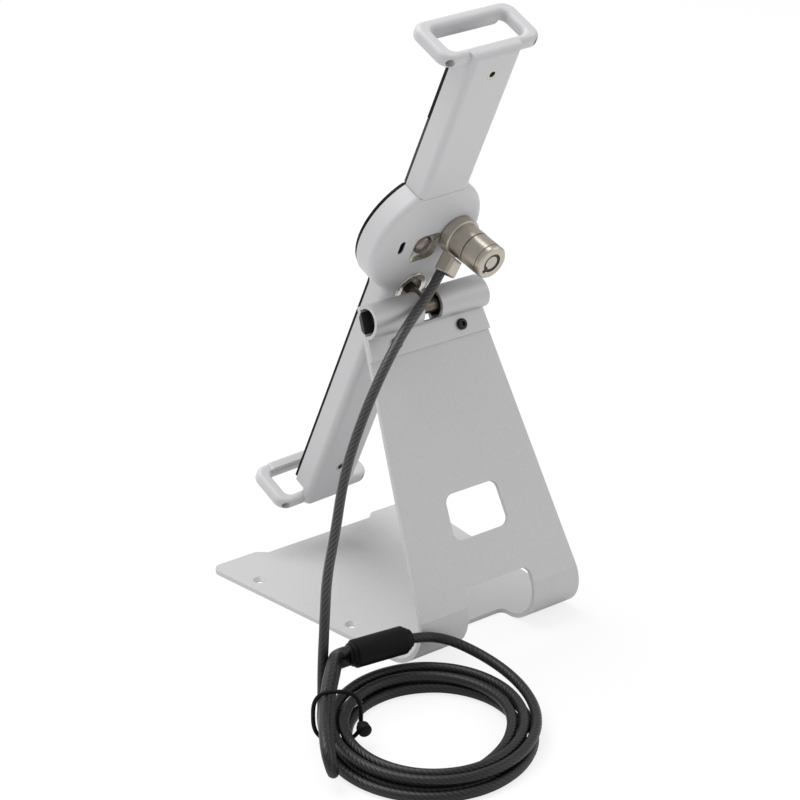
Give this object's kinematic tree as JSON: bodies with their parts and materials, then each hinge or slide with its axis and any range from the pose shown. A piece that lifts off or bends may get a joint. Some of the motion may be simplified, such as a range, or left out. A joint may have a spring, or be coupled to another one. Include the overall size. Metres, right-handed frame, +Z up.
{
  "type": "tablet stand",
  "caption": "Folded metal table stand with a tilting and swivelling clamp for a tablet, a sliding upper arm, and a security lock on a coiled cable.",
  "frame": {"origin": "middle of the base plate's underside, midway between its two rows of screw holes", "axes": "+Z up, along the stand's height; +X to the right for a person using the tablet; +Y away from the user, towards the back"},
  "size_m": [0.195, 0.2453, 0.2753],
  "materials": {
    "plate": "satin",
    "cover": "brushed",
    "grey_plastic": "satin",
    "black_rubber": "matte",
    "black_plastic": "matte",
    "black_steel": "satin",
    "nickel": "satin",
    "dark_nickel": "satin",
    "steel": "ground",
    "brass_nickel": "satin",
    "cable_jacket": "satin"
  },
  "bodies": {
    "stand": {"stand_plate": "plate", "hinge_cover": "cover", "clamp_screws": "black_steel", "clamp_nuts": "black_steel", "bush_left": "black_plastic", "bush_right": "black_plastic", "cable_drop": "cable_jacket", "cable_coil": "cable_jacket", "cable_sleeve": "black_rubber", "cable_loop": "cable_jacket", "coil_tie": "black_plastic"},
    "tilt_head": {"tilt_link": "dark_nickel", "shaft_clips": "black_steel"},
    "holder": {"main_body": "grey_plastic", "front_cover": "black_plastic", "cover_screws": "black_steel", "holder_pad": "black_rubber", "anchor_plate": "steel", "eye_bezel": "nickel", "stud": "dark_nickel", "link_socket": "nickel", "low_insert": "brass_nickel", "lock_base": "nickel", "lock_neck": "nickel", "lock_barrel": "nickel", "ferrule": "nickel"},
    "arm": {"upper_arm": "grey_plastic", "slide_rail": "steel", "rail_screws": "black_steel", "rail_strip": "black_plastic", "grip_pad": "black_rubber", "high_insert": "brass_nickel"},
    "key": {"key_plug": "dark_nickel", "t_bar": "steel"}
  },
  "joints": [
    {"name": "holder_tilt", "type": "hinge", "parent": "stand", "child": "tilt_head", "pos_m": [0, 0.02736, 0.14106], "axis": [1, 0, 0], "range_deg": [-45, 18], "deforming": ["cable_drop"]},
    {"name": "holder_swivel", "type": "hinge", "parent": "tilt_head", "child": "holder", "pos_m": [0, 0.01175, 0.14875], "axis": [0, 0.4415, 0.8973], "range_deg": [-6, 6]},
    {"name": "arm_slide", "type": "slide", "parent": "holder", "child": "arm", "axis": [0, 0.4415, 0.8973], "range_m": [0, 0.045]},
    {"name": "key_turn", "type": "hinge", "parent": "holder", "child": "key", "pos_m": [-0.015, 0.02853, 0.17169], "axis": [-0.038, 0.952, -0.3037], "range_deg": [-90, 0]}
  ]
}
